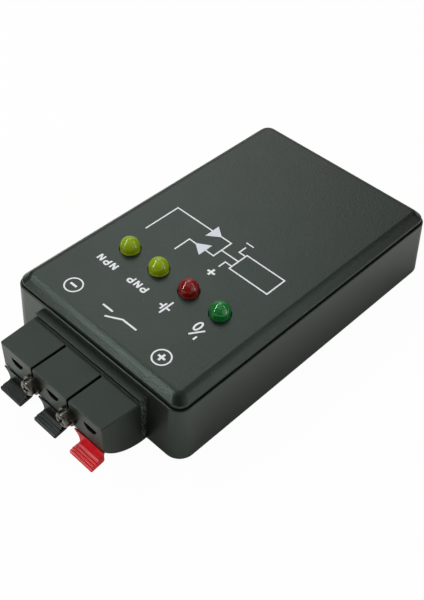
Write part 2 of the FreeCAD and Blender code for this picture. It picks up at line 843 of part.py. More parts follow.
def resistor_places():
    y = board_front_y + resistor_from_front
    return [((i - (resistor_count - 1) / 2) * resistor_pitch, y) for i in range(resistor_count)]


def transistor_places():
    y = board_rear_y - transistor_from_rear
    return [(-transistor_spacing / 2, y), (transistor_spacing / 2, y)]


def capacitor_place():
    return capacitor_x, board_rear_y - capacitor_from_rear


def capacitor_lead_places():
    x, y = capacitor_place()
    return [(x - capacitor_lead_pitch / 2, y), (x + capacitor_lead_pitch / 2, y)]


def chip_leg_places():
    places = []
    for i in range(chip_leg_pairs):
        x = (i - (chip_leg_pairs - 1) / 2) * chip_leg_pitch
        places += [(x, chip_y() - chip_leg_row / 2), (x, chip_y() + chip_leg_row / 2)]
    return places


def battery_lead_places():
    y = board_rear_y - battery_lead_from_rear
    return [(-battery_lead_hole_x, y), (battery_lead_hole_x, y)]


def lead_holes():
    holes = [(x, y, lamp_lead * math.sqrt(2)) for x, y in lamp_lead_places()]
    holes += [(x, y, chip_leg_width * math.sqrt(2)) for x, y in chip_leg_places()]
    for x, y in resistor_places():
        holes += [(x, y - resistor_span / 2, lead_diameter), (x, y + resistor_span / 2, lead_diameter)]
    for x, y in transistor_places():
        holes += [(x + i * transistor_leg_pitch, y, transistor_leg * math.sqrt(2)) for i in (-1, 0, 1)]
    holes += [(x, y, lead_diameter) for x, y in capacitor_lead_places()]
    holes += [(x, y, battery_lead_diameter) for x, y in battery_lead_places()]
    return holes


def circuit_board():
    board = block(-board_width / 2, board_width / 2, board_front_y, board_rear_y, board_bottom, board_top)
    holes = [(x, y, size + hole_gap) for x, y, size in lead_holes()]
    holes += [(x, y, board_screw_shank + 2 * hole_gap) for x, y in boss_places]
    start_z = board_bottom - cut_over
    return board.cut([rod(size, Vector(x, y, start_z), axis_z, board_thickness + 2 * cut_over)
                      for x, y, size in holes])


def board_screws():
    length = board_thickness + board_screw_bite
    return [pan_head(board_screw_shank, board_screw_head, board_screw_head_height,
                     Vector(x, y, board_top), -axis_z, length) for x, y in boss_places]


def comparator_chip():
    y = chip_y()
    z0 = board_top + chip_standoff
    z1 = z0 + chip_height
    body = block(-chip_length / 2, chip_length / 2, y - chip_width / 2, y + chip_width / 2, z0, z1)
    notch = rod(chip_notch, Vector(-chip_length / 2, y, z1 - chip_notch_depth), axis_z, cut_over)
    solids = [body.cut(notch)]
    knee = z0 + chip_height / 2
    half_width = chip_leg_width / 2
    half_strip = chip_leg_thickness / 2
    for x, leg_y in chip_leg_places():
        outward = 1 if leg_y > y else -1
        inside, outside = sorted((y + outward * (chip_width / 2 - embed), leg_y + outward * half_strip))
        solids.append(block(x - half_width, x + half_width, leg_y - half_strip, leg_y + half_strip,
                            board_bottom - lead_tail, knee))
        solids.append(block(x - half_width, x + half_width, inside, outside, knee - chip_leg_thickness, knee))
    return joined(solids)


def resistors():
    pieces = []
    z = board_top + resistor_standoff + resistor_diameter / 2
    for x, y in resistor_places():
        body = rod(resistor_diameter, Vector(x, y - resistor_length / 2, z), axis_y, resistor_length)
        ends = [edge for edge in body.Edges if edge.Curve.TypeId == "Part::GeomCircle"]
        body = body.makeFillet(resistor_end_round, ends)
        half = lead_diameter / 2
        reach = resistor_span / 2
        across = rod(lead_diameter, Vector(x, y - reach - half, z), axis_y, resistor_span + lead_diameter)
        legs = []
        for foot_y in (y - reach, y + reach):
            foot = Vector(x, foot_y, board_bottom - lead_tail)
            legs.append(rod(lead_diameter, foot, axis_z, z + half - foot.z))
        pieces.append(joined([body, across] + legs))
    return pieces


def transistors():
    pieces = []
    z = board_top + transistor_standoff
    for x, y in transistor_places():
        can = rod(2 * transistor_radius, Vector(x, y, z), axis_z, transistor_height)
        reach = 2 * transistor_radius
        can = can.cut(block(x - reach, x + reach, y - reach, y - transistor_flat, z, z + transistor_height))
        half = transistor_leg / 2
        leg_xs = [x + i * transistor_leg_pitch for i in (-1, 0, 1)]
        legs = [block(leg_x - half, leg_x + half, y - half, y + half, board_bottom - lead_tail, z + embed)
                for leg_x in leg_xs]
        pieces.append(joined([can] + legs))
    return pieces


def capacitor():
    x, y = capacitor_place()
    can = rod(capacitor_diameter, Vector(x, y, board_top), axis_z, capacitor_height)
    can = can.makeFillet(capacitor_round, edges_at_height(can, board_top + capacitor_height))
    foot_z = board_bottom - lead_tail
    legs = [rod(lead_diameter, Vector(lead_x, lead_y, foot_z), axis_z, board_top + embed - foot_z)
            for lead_x, lead_y in capacitor_lead_places()]
    return joined([can] + legs)


# Battery and its wiring

def battery_cell():
    front = bay_front_y + battery_plate_thickness
    can = rod(battery_diameter, Vector(0, front + battery_nib_length, battery_z), axis_y,
              battery_length - battery_nib_length)
    ends = [edge for edge in can.Edges if edge.Curve.TypeId == "Part::GeomCircle"]
    can = can.makeFillet(battery_edge_round, ends)
    nib = rod(battery_nib_diameter, Vector(0, front, battery_z), axis_y, battery_nib_length + embed)
    return joined([can, nib])


def battery_contact(y0):
    # A plate with a tail that goes up through the roof of the compartment.
    y1 = y0 + battery_plate_thickness
    half = battery_plate_width / 2
    reach = battery_plate_height / 2
    plate = block(-half, half, y0, y1, battery_z - reach, battery_z + reach)
    tail_half = battery_tail_width / 2
    tail = block(-tail_half, tail_half, y0, y1, battery_z, bay_top + battery_bay_roof + battery_tail_height)
    return joined([plate, tail])


def battery_spring():
    # A conical coil between the rear contact and the flat end of the cell.
    base_y = bay_rear_y - battery_plate_thickness - battery_wire / 2
    tip_y = bay_front_y + battery_plate_thickness + battery_length + battery_wire / 2
    steps = int(round(battery_coil_turns * battery_coil_arcs))
    points_per_turn = battery_coil_arcs * battery_coil_tests

    def place(turn):
        share = turn / battery_coil_turns
        radius = battery_coil_base_radius + (battery_coil_tip_radius - battery_coil_base_radius) * share
        angle = 2 * math.pi * turn
        return Vector(radius * math.cos(angle), base_y + (tip_y - base_y) * share,
                      battery_z + radius * math.sin(angle))

    ends = [i / battery_coil_arcs for i in range(steps + 1)]
    edges = [Part.Arc(place(a), place((a + b) / 2), place(b)).toShape() for a, b in zip(ends, ends[1:])]
    path = Part.Wire(edges)
    heading = edges[0].tangentAt(edges[0].FirstParameter)
    section = Part.Wire([Part.makeCircle(battery_wire / 2, place(0), heading)])
    points = [place(i / points_per_turn) for i in range(steps * battery_coil_tests + 1)]
    nearest_turn = points_per_turn - battery_coil_tests
    gap = min((points[i] - points[j]).Length for i in range(len(points))
              for j in range(i + nearest_turn, len(points))) - battery_wire
    print("battery spring, least gap between turns", round(gap, 2))
    return path.makePipeShell([section], True, False)


def battery_lead(contact_y, hole, route):
    # From a contact's tail over the board and down through its hole; the route gives shares of the
    # run along Y and of the hole's X.
    wire_z = bay_top + battery_bay_roof + battery_lead_height
    run = contact_y - hole[1]
    points = [(0, contact_y, wire_z)]
    points += [(hole[0] * across, contact_y - run * along, wire_z) for along, across in route]
    points += [(hole[0], hole[1], wire_z), (hole[0], hole[1], board_bottom - battery_lead_tail)]
    return lead_tube(points, battery_lead_diameter)


def battery_lead_positive():
    return battery_lead(bay_front_y, battery_lead_places()[1], battery_lead_positive_route)


def battery_lead_negative():
    return battery_lead(bay_rear_y - battery_plate_thickness, battery_lead_places()[0],
                        battery_lead_negative_route)


def build():
    pieces = {
        "lower_case": lower_case(),
        "upper_case": upper_case(),
        "case_screws": case_screws(),
        "battery_door": battery_door(),
        "circuit_board": circuit_board(),
        "board_screws": board_screws(),
        "led_leads": lamp_leads(),
        "comparator_chip": comparator_chip(),
        "resistors": resistors(),
        "transistors": transistors(),
        "capacitor": capacitor(),
        "terminal_housing": terminal_housing(),
        "terminal_back_plate": terminal_back_plate(),
        "terminal_screws": terminal_screws(),
        "terminal_washers": terminal_washers(),
        "terminal_nuts": terminal_nuts(),
        "battery_cell": battery_cell(),
        "battery_contact_positive": battery_contact(bay_front_y),
        "battery_contact_negative": battery_contact(bay_rear_y - battery_plate_thickness),
        "battery_spring": battery_spring(),
        "battery_lead_positive": battery_lead_positive(),
        "battery_lead_negative": battery_lead_negative(),
    }
    for name, x in zip(("npn", "pnp", "battery", "output"), lamp_xs):
        pieces["led_" + name] = lamp(x)
    for name, x in zip(("negative", "output", "positive"), way_xs):
        pieces["lever_" + name] = lever(x)
        pieces["contact_" + name] = contact(x)
        pieces["lever_spring_" + name] = lever_spring(x)
    return pieces


os.makedirs("parts", exist_ok=True)
for node, shape in build().items():
    if isinstance(shape, list):
        shape = Part.makeCompound(shape)
    shape.exportStep("parts/" + node + ".step")
    print(node, len(shape.Solids), "solids,", round(shape.Volume, 2), "mm3, valid", shape.isValid())
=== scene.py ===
import json
import math

import bmesh
import bpy
from mathutils import Matrix, Quaternion, Vector


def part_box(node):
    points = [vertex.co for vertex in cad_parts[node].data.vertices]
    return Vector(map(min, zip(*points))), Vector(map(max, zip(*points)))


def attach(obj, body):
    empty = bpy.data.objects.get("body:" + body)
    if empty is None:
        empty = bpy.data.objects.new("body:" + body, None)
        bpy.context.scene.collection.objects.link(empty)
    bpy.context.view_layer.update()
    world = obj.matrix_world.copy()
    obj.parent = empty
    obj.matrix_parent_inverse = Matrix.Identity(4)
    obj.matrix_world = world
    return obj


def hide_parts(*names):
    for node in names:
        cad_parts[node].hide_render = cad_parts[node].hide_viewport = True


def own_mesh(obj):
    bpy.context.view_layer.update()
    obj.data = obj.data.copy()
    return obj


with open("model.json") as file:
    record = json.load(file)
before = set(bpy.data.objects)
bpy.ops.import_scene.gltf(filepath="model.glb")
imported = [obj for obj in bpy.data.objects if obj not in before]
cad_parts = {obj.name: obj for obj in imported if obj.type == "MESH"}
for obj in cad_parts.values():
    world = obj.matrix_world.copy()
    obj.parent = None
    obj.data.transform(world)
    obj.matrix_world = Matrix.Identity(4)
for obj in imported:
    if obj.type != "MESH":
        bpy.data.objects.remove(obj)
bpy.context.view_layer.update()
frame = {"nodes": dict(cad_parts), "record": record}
mm = 0.001
print("frame loaded,", len(frame["nodes"]), "nodes")


# Small helpers

def linear(hexText):
    parts = [int(hexText[i:i + 2], 16) / 255 for i in (1, 3, 5)]
    return [c / 12.92 if c <= 0.04045 else ((c + 0.055) / 1.055) ** 2.4 for c in parts] + [1.0]


plainWhite = linear("#ffffff")
# the colour sockets of a Mix node are found by place, because their names repeat
mixFirst = 6
mixSecond = 7
mixOut = 2


def addNode(tree, kind, settings=None, links=None):
    node = tree.nodes.new(kind)
    for key, value in (settings or {}).items():
        if isinstance(key, int) or key in node.inputs:
            node.inputs[key].default_value = value
        else:
            setattr(node, key, value)
    for key, source in (links or {}).items():
        tree.links.new(source, node.inputs[key])
    return node


def perMm(size):
    return 1 / (size * mm)  # texture scale for a feature of that many millimetres


def newMaterial(name, shaderSettings):
    material = bpy.data.materials.new(name)
    material.use_nodes = True
    tree = material.node_tree
    tree.nodes.clear()
    shader = addNode(tree, "ShaderNodeBsdfPrincipled", shaderSettings)
    addNode(tree, "ShaderNodeOutputMaterial", None, {"Surface": shader.outputs[0]})
    coords = addNode(tree, "ShaderNodeTexCoord").outputs["Object"]
    return material, tree, shader, coords


def meshObject(name, bm, material):
    mesh = bpy.data.meshes.new(name)
    bm.to_mesh(mesh)
    bm.free()
    mesh.materials.append(material)
    made = bpy.data.objects.new(name, mesh)
    bpy.context.scene.collection.objects.link(made)
    return made


def addPiece(name, bm, material, body):
    bmesh.ops.recalc_face_normals(bm, faces=bm.faces)
    piece = meshObject(name, bm, material)
    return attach(piece, body)


# Camera at the photograph's place, in degrees and millimetres

cameraView = {
    "azimuth": 42.67,
    "elevation": 46.07,
    "roll": 2.2,
    "distance": 226.7,
    "target": (4.06, -10.23, 9.0),
    "lens": 55.75,
    "sensorWidth": 36,
    "nearClip": 10,
}


def makeCamera():
    turn = math.radians(cameraView["azimuth"])
    rise = math.radians(cameraView["elevation"])
    back = Vector((math.sin(turn) * math.cos(rise), -math.cos(turn) * math.cos(rise), math.sin(rise)))
    data = bpy.data.cameras.new("camera")
    data.lens = cameraView["lens"]
    data.sensor_width = cameraView["sensorWidth"]
    data.clip_start = cameraView["nearClip"] * mm
    camera = bpy.data.objects.new("camera", data)
    bpy.context.scene.collection.objects.link(camera)
    camera.location = (Vector(cameraView["target"]) + back * cameraView["distance"]) * mm
    camera.rotation_mode = "QUATERNION"
    roll = Quaternion((0, 0, 1), math.radians(cameraView["roll"]))
    camera.rotation_quaternion = (-back).to_track_quat("-Z", "Y") @ roll
    bpy.context.scene.camera = camera


makeCamera()
print("camera placed")


# Studio: white paper in a dim room, with soft patches of light round it and three bright tubes

studio = {
    "roomDim": 0.07,
    "mirrorWhite": 0.03,  # the share of the plain white background that mirrors see
    # soft patches of the room: direction, full up to and gone beyond so many degrees, level
    "patches": {
        "zenith": ((0, 0, 1), 10, 40, 0.45),
        "backLeft": ((-0.52, 0.43, 0.74), 5, 22, 1.2),
        "backLeftCore": ((-0.52, 0.43, 0.74), 2, 12, 1.2),
        "back": ((-0.50, 0.62, 0.60), 5, 22, 0.45),
        "backLow": ((-0.70, 0.70, 0.10), 15, 40, 0.35),
        "right": ((0.90, 0.20, 0.40), 10, 40, 0.8),
    },
    "floorColour": "#f3f6ec",
    "floorWhite": 0.97,  # the share of plain white in the paper that the camera sees
    # light that only mirrors see on the paper: direction, from and full at so many millimetres, level
    "floorSheen": {
        "leftFront": ((-0.6, -0.8, 0), 5, 80, 0.5),
        "right": ((1, 0, 0), 28, 44, 0.36),
    },
    "floorSize": 2000,
    "floorDrop": 0.05,
    # tubes: from one direction to another at that reach, power in watts
    "reach": 750,
    "tubeWidth": 60,
    "tubes": {
        "leftTube": ((-0.66, 0.12, 0.74), (-0.47, -0.34, 0.81), 0.9),
        "frontTube": ((-0.47, -0.34, 0.81), (-0.36, -0.88, 0.30), 1.8),
        "rightTube": ((0.03, 0.49, 0.87), (0.96, 0.26, 0.05), 0.65),
    },
}


def addFades(tree, source, fades, base):
    # soft steps along a few directions, added up from a base level
    level = None
    for axis, start, full, strength in fades:
        along = addNode(tree, "ShaderNodeVectorMath", {
            "operation": "DOT_PRODUCT", 1: Vector(axis).normalized()}, {0: source}).outputs["Value"]
        fade = addNode(tree, "ShaderNodeMapRange", {
            "interpolation_type": "SMOOTHSTEP", "From Min": start, "From Max": full,
            "To Min": 0.0 if level else base, "To Max": strength}, {"Value": along}).outputs[0]
        if level:
            fade = addNode(tree, "ShaderNodeMath", {"operation": "ADD"}, {0: level, 1: fade}).outputs[0]
        level = fade
    return level


def rayKinds(tree):
    # what the camera sees, directly or through a clear piece, and what mirrors see
    path = addNode(tree, "ShaderNodeLightPath").outputs
    seen = addNode(tree, "ShaderNodeMath", {"operation": "MAXIMUM"},
                   {0: path["Is Camera Ray"], 1: path["Is Transmission Ray"]}).outputs[0]
    return seen, path["Is Glossy Ray"]


def makeWorld():
    world = bpy.data.worlds.new("studioWorld")
    world.use_nodes = True
    tree = world.node_tree
    tree.nodes.clear()
    aim = addNode(tree, "ShaderNodeTexCoord").outputs["Generated"]  # in a world this is the direction
    fades = [(axis, math.cos(math.radians(outer)), math.cos(math.radians(inner)), strength)
             for axis, inner, outer, strength in studio["patches"].values()]
    level = addFades(tree, aim, fades, studio["roomDim"])
    room = addNode(tree, "ShaderNodeBackground", {"Color": plainWhite}, {"Strength": level})
    white = addNode(tree, "ShaderNodeBackground", {"Color": plainWhite, "Strength": 1.0})
    seen, glossy = rayKinds(tree)
    mirrored = addNode(tree, "ShaderNodeMath", {"operation": "MULTIPLY", 1: studio["mirrorWhite"]},
                       {0: glossy}).outputs[0]
    share = addNode(tree, "ShaderNodeMath", {"operation": "MAXIMUM"}, {0: seen, 1: mirrored}).outputs[0]
    mix = addNode(tree, "ShaderNodeMixShader", None, {0: share, 1: room.outputs[0], 2: white.outputs[0]})
    addNode(tree, "ShaderNodeOutputWorld", None, {"Surface": mix.outputs[0]})
    bpy.context.scene.world = world


def makeFloor():
    material = bpy.data.materials.new("whitePaper")
    material.use_nodes = True
    tree = material.node_tree
    tree.nodes.clear()
    coords = addNode(tree, "ShaderNodeTexCoord").outputs["Object"]
    paper = addNode(tree, "ShaderNodeBsdfDiffuse", {"Color": linear(studio["floorColour"])})
    glow = addNode(tree, "ShaderNodeEmission", {"Color": plainWhite, "Strength": 1.0})
    seen, glossy = rayKinds(tree)
    direct = addNode(tree, "ShaderNodeMath", {"operation": "MULTIPLY", 1: studio["floorWhite"]},
                     {0: seen}).outputs[0]
    mix = addNode(tree, "ShaderNodeMixShader", None, {0: direct, 1: paper.outputs[0], 2: glow.outputs[0]})
    fades = [(axis, start * mm, full * mm, strength)
             for axis, start, full, strength in studio["floorSheen"].values()]
    level = addFades(tree, coords, fades, 0.0)
    mirrored = addNode(tree, "ShaderNodeMath", {"operation": "MULTIPLY"}, {0: glossy, 1: level}).outputs[0]
    sheen = addNode(tree, "ShaderNodeEmission", {"Color": plainWhite}, {"Strength": mirrored})
    both = addNode(tree, "ShaderNodeAddShader", None, {0: mix.outputs[0], 1: sheen.outputs[0]})
    addNode(tree, "ShaderNodeOutputMaterial", None, {"Surface": both.outputs[0]})
    bm = bmesh.new()
    bmesh.ops.create_grid(bm, x_segments=1, y_segments=1, size=studio["floorSize"] * mm)
    bmesh.ops.translate(bm, verts=bm.verts, vec=(0, 0, -studio["floorDrop"] * mm))
    floor = meshObject("floor", bm, material)


def makeTube(name, start, end, power):
    # a long narrow light between two directions, facing the part
    first = Vector(start).normalized() * studio["reach"] * mm
    last = Vector(end).normalized() * studio["reach"] * mm
    along = (last - first).normalized()
    middle = (first + last) / 2
    back = (middle - along * middle.dot(along)).normalized()
    turn = Matrix((along, back.cross(along), back)).transposed()
    data = bpy.data.lights.new(name, "AREA")
    data.shape = "RECTANGLE"
    data.size = (last - first).length
    data.size_y = studio["tubeWidth"] * mm
    data.energy = power
    light = bpy.data.objects.new(name, data)
    bpy.context.scene.collection.objects.link(light)
    light.matrix_world = Matrix.Translation(middle) @ turn.to_4x4()


makeWorld()
makeFloor()
for tubeName, (start, end, power) in studio["tubes"].items():
    makeTube(tubeName, start, end, power)
bpy.context.scene.view_settings.view_transform = "Standard"
print("studio ready")


# Plastics, lacquers and inks

# each has a fine grain at two sizes and is duller in soft patches; the black mouldings also have a few
# pale specks of dust and edges whose paler colour is painted highlight as well as rubbing; the case's
# real grain is too fine to show, so it is drawn coarser
plastics = {
    # case, injection-moulded from a spark-eroded mould: satin, its highlights broken up by the grain
    "blackAbsSatin": {
        "colour": "#0c0f0d", "worn": "#111512", "specular": 0.5, "tint": "#e8fff2",
        "roughness": (0.29, 0.37), "patchMm": 9.0,
        "grainMm": 0.4, "grainStrength": 0.9, "grainDepth": 0.055,
        "speckMm": 3.2, "speckShare": 0.05, "speckColour": "#4a504c",
        "edgeMm": 0.15, "edgeHighlightAndWearColour": "#2c322e"},
    # terminal block, moulded from the same plastic: a little duller, with sharper edges whose paler colour
    # is painted highlight as well as rubbing
    "blackAbsTerminal": {
        "colour": "#0c0f0d", "worn": "#121512", "specular": 0.42, "tint": "#e8fff2",
        "roughness": (0.34, 0.44), "patchMm": 5.0,
        "grainMm": 0.35, "grainStrength": 0.7, "grainDepth": 0.04,
        "speckMm": 2.6, "speckShare": 0.05, "speckColour": "#3c413e",
        "edgeMm": 0.18, "edgeHighlightAndWearColour": "#6a726c"},
    # levers, from a polished mould: half gloss, with narrow lights along the ribs
    "blackAbsLever": {
        "colour": "#0b0d0c", "worn": "#101211", "specular": 0.2, "tint": "#f0fff7",
        "roughness": (0.2, 0.28), "patchMm": 4.0,
        "grainMm": 0.3, "grainStrength": 0.1, "grainDepth": 0.01,
        "edgeMm": 0.08, "edgeHighlightAndWearColour": "#2a2e2c"},
    "redAbsLever": {
        "colour": "#e61a26", "worn": "#d8141f", "specular": 0.18, "roughness": (0.14, 0.2),
        "patchMm": 4.0, "grainMm": 0.3, "grainStrength": 0.03, "grainDepth": 0.01},
    # pressed paper laminate: matt, with a fibrous grain
    "brownPhenolicPaper": {
        "colour": "#5a3a1e", "worn": "#4a2f18", "specular": 0.4, "roughness": (0.5, 0.65),
        "patchMm": 1.5, "grainMm": 0.2, "grainStrength": 0.2, "grainDepth": 0.01},
    # glass laminate under solder mask: smooth, half gloss
    "greenGlassLaminate": {
        "colour": "#14502c", "worn": "#0f4225", "specular": 0.5, "roughness": (0.3, 0.4),
        "patchMm": 3.0, "grainMm": 0.4, "grainStrength": 0.1, "grainDepth": 0.01},
    # transfer-moulded epoxy: matt, dark grey
    "blackMouldedEpoxy": {
        "colour": "#17171a", "worn": "#1f1f22", "specular": 0.4, "roughness": (0.5, 0.6),
        "patchMm": 1.5, "grainMm": 0.12, "grainStrength": 0.3, "grainDepth": 0.01},
    # dipped lacquer: smooth, half gloss
    "beigeResistorLacquer": {
        "colour": "#c8a877", "worn": "#bb9a69", "specular": 0.5, "roughness": (0.3, 0.4),
        "patchMm": 1.0, "grainMm": 0.2, "grainStrength": 0.15, "grainDepth": 0.01},
    # shrunk-on sleeve: tight and glossy
    "blueShrinkSleeve": {
        "colour": "#1b2a55", "worn": "#17244a", "specular": 0.5, "roughness": (0.22, 0.3),
        "patchMm": 1.5, "grainMm": 0.3, "grainStrength": 0.1, "grainDepth": 0.01},
    # extruded wire insulation: soft and dull
    "redPvcInsulation": {
        "colour": "#a81717", "worn": "#961212", "specular": 0.4, "roughness": (0.4, 0.5),
        "patchMm": 1.5, "grainMm": 0.2, "grainStrength": 0.1, "grainDepth": 0.01},
    "blackPvcInsulation": {
        "colour": "#161616", "worn": "#1e1e1e", "specular": 0.4, "roughness": (0.4, 0.5),
        "patchMm": 1.5, "grainMm": 0.2, "grainStrength": 0.1, "grainDepth": 0.01},
    # lacquered steel can: smooth, half gloss
    "greyCanLacquer": {
        "colour": "#3a3b40", "worn": "#33343a", "specular": 0.5, "roughness": (0.25, 0.35),
        "patchMm": 4.0, "grainMm": 0.4, "grainStrength": 0.1, "grainDepth": 0.01},
    # silk-screen ink: opaque white, slightly rough
    "whiteScreenInk": {
        "colour": "#fbfdff", "worn": "#f3f6fa", "specular": 0.4, "roughness": (0.5, 0.6),
        "patchMm": 2.0, "grainMm": 0.15, "grainStrength": 0.15, "grainDepth": 0.01},
    # a thinner coat of the same ink lets the black through a little and looks bluish
    "paleScreenInk": {
        "colour": "#eff2f9", "worn": "#e3e8f2", "specular": 0.4, "roughness": (0.5, 0.6),
        "patchMm": 1.2, "grainMm": 0.15, "grainStrength": 0.15, "grainDepth": 0.01},
}
plasticGrain = {
    "ior": 1.5,
    "patchDetail": 3.0,
    "fineDetail": 2.0,
    "coarseDetail": 1.0,
    # the coarse grain's size and weight beside the fine one's
    "coarseTimes": 2.6,
    "coarseShare": 0.2,
    "edgeSamples": 6,
    # the cosine between the rounded edge and the flat face where the paler edge colour, painted highlight
    # and rubbing, starts and where it is full
    "edgeTurn": (0.98, 0.8),
}


def mouldedPlastic(name, look):
    material, tree, shader, coords = newMaterial(name, {
        "IOR": plasticGrain["ior"], "Specular IOR Level": look["specular"],
        "Specular Tint": linear(look["tint"]) if "tint" in look else plainWhite})
    patches = addNode(tree, "ShaderNodeTexNoise", {
        "Scale": perMm(look["patchMm"]), "Detail": plasticGrain["patchDetail"]},
        {"Vector": coords}).outputs["Fac"]
    fine = addNode(tree, "ShaderNodeTexNoise", {
        "Scale": perMm(look["grainMm"]), "Detail": plasticGrain["fineDetail"]},
        {"Vector": coords}).outputs["Fac"]
    coarse = addNode(tree, "ShaderNodeTexNoise", {
        "Scale": perMm(look["grainMm"] * plasticGrain["coarseTimes"]),
        "Detail": plasticGrain["coarseDetail"]}, {"Vector": coords}).outputs["Fac"]
    grain = addNode(tree, "ShaderNodeMath", {"operation": "MULTIPLY_ADD", 1: plasticGrain["coarseShare"]},
                    {0: coarse, 2: fine}).outputs[0]
    tone = addNode(tree, "ShaderNodeMix", {
        "data_type": "RGBA", mixFirst: linear(look["colour"]), mixSecond: linear(look["worn"])},
        {0: patches}).outputs[mixOut]
    if "speckMm" in look:
        nearest = addNode(tree, "ShaderNodeTexVoronoi", {"Scale": perMm(look["speckMm"])},
                          {"Vector": coords}).outputs["Distance"]
        dust = addNode(tree, "ShaderNodeMapRange", {
            "From Min": look["speckShare"], "From Max": look["speckShare"] / 2},
            {"Value": nearest}).outputs[0]
        tone = addNode(tree, "ShaderNodeMix", {"data_type": "RGBA", mixSecond: linear(look["speckColour"])},
                       {0: dust, mixFirst: tone}).outputs[mixOut]
    bump = addNode(tree, "ShaderNodeBump", {
        "Strength": look["grainStrength"], "Distance": look["grainDepth"] * mm}, {"Height": grain})
    if "edgeMm" in look:  # a small round on the sharp edges, paler in places with painted highlight and rubbing
        rounded = addNode(tree, "ShaderNodeBevel", {
            "samples": plasticGrain["edgeSamples"], "Radius": look["edgeMm"] * mm}).outputs[0]
        tree.links.new(rounded, bump.inputs["Normal"])
        flat = addNode(tree, "ShaderNodeNewGeometry").outputs["Normal"]
        agree = addNode(tree, "ShaderNodeVectorMath", {"operation": "DOT_PRODUCT"},
                        {0: rounded, 1: flat}).outputs["Value"]
        begin, whole = plasticGrain["edgeTurn"]
        edge = addNode(tree, "ShaderNodeMapRange", {"From Min": begin, "From Max": whole},
                       {"Value": agree}).outputs[0]
        # painted highlight: the paler edge colour draws highlight lines along the edges, together with
        # rubbing wear
        paintedEdgeHighlightAndWear = addNode(tree, "ShaderNodeMath", {"operation": "MULTIPLY"},
                         {0: edge, 1: patches}).outputs[0]
        tone = addNode(tree, "ShaderNodeMix", {"data_type": "RGBA", mixSecond: linear(look["edgeHighlightAndWearColour"])},
                       {0: paintedEdgeHighlightAndWear, mixFirst: tone}).outputs[mixOut]
    tree.links.new(tone, shader.inputs["Base Color"])
    gloss = addNode(tree, "ShaderNodeMapRange", {
        "To Min": look["roughness"][0], "To Max": look["roughness"][1]}, {"Value": patches})
    tree.links.new(gloss.outputs[0], shader.inputs["Roughness"])
    tree.links.new(bump.outputs[0], shader.inputs["Normal"])
    return material


# The terminal's flange was sawn to length: pale, torn marks on its two ends, longer than they are wide

sawnFlange = {
    "thickness": 1.8,
    "edge": 0.06,
    "lineMm": 0.28,
    "lineStretch": 4.0,
    "lineDetail": 3.0,
    "torn": (0.5, 0.6),
    "colour": "#7d837c",
    "depth": 0.08,
}


def sawFlange(material):
    tree = material.node_tree
    shader = next(node for node in tree.nodes if node.type == "BSDF_PRINCIPLED")
    coords = next(node for node in tree.nodes if node.type == "TEX_COORD").outputs["Object"]
    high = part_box("terminal_housing")[1]
    parts = addNode(tree, "ShaderNodeSeparateXYZ", None, {0: coords}).outputs
    across = addNode(tree, "ShaderNodeMath", {"operation": "ABSOLUTE"}, {0: parts[0]}).outputs[0]
    end = addNode(tree, "ShaderNodeMath", {
        "operation": "GREATER_THAN", 1: high.x - sawnFlange["edge"] * mm}, {0: across}).outputs[0]
    behind = addNode(tree, "ShaderNodeMath", {
        "operation": "GREATER_THAN", 1: high.y - sawnFlange["thickness"] * mm}, {0: parts[1]}).outputs[0]
    cut = addNode(tree, "ShaderNodeMath", {"operation": "MULTIPLY"}, {0: end, 1: behind}).outputs[0]
    step = perMm(sawnFlange["lineMm"])
    drawn = addNode(tree, "ShaderNodeMapping", {"Scale": (step, step, step / sawnFlange["lineStretch"])},
                    {"Vector": coords}).outputs[0]
    lines = addNode(tree, "ShaderNodeTexNoise", {"Scale": 1.0, "Detail": sawnFlange["lineDetail"]},
                    {"Vector": drawn}).outputs["Fac"]
    ragged = addNode(tree, "ShaderNodeMapRange", {
        "From Min": sawnFlange["torn"][0], "From Max": sawnFlange["torn"][1]}, {"Value": lines}).outputs[0]
    torn = addNode(tree, "ShaderNodeMath", {"operation": "MULTIPLY"}, {0: cut, 1: ragged}).outputs[0]
    tone = addNode(tree, "ShaderNodeMix", {"data_type": "RGBA", mixSecond: linear(sawnFlange["colour"])},
                   {0: torn, mixFirst: shader.inputs["Base Color"].links[0].from_socket}).outputs[mixOut]
    tree.links.new(tone, shader.inputs["Base Color"])
    bump = addNode(tree, "ShaderNodeBump", {"Strength": 1.0, "Distance": sawnFlange["depth"] * mm},
                   {"Height": torn, "Normal": shader.inputs["Normal"].links[0].from_socket})
    tree.links.new(bump.outputs[0], shader.inputs["Normal"])


# Metals: plated or bright strip, wire and screws, dulled and darkened in small patches by handling

metals = {
    "nickelPlatedSteel": {"colour": "#6c6963", "dull": "#484540", "roughness": (0.2, 0.34), "patchMm": 1.2},
    "tinnedBrass": {"colour": "#c9bfa6", "dull": "#a99d80", "roughness": (0.25, 0.4), "patchMm": 1.2},
    "brightSpringSteel": {"colour": "#a6a6a6", "dull": "#858585", "roughness": (0.2, 0.35), "patchMm": 1.0},
    "tinnedCopperWire": {"colour": "#b9b9b4", "dull": "#98988f", "roughness": (0.25, 0.4), "patchMm": 0.6},
}
metalDetail = 4.0


def platedMetal(name, look):
    material, tree, shader, coords = newMaterial(name, {"Metallic": 1.0})
    dull = addNode(tree, "ShaderNodeTexNoise", {"Scale": perMm(look["patchMm"]), "Detail": metalDetail},
                   {"Vector": coords}).outputs["Fac"]
    tone = addNode(tree, "ShaderNodeMix", {
        "data_type": "RGBA", mixFirst: linear(look["colour"]), mixSecond: linear(look["dull"])}, {0: dull})
    tree.links.new(tone.outputs[mixOut], shader.inputs["Base Color"])
    gloss = addNode(tree, "ShaderNodeMapRange", {
        "To Min": look["roughness"][0], "To Max": look["roughness"][1]}, {"Value": dull})
    tree.links.new(gloss.outputs[0], shader.inputs["Roughness"])
    return material
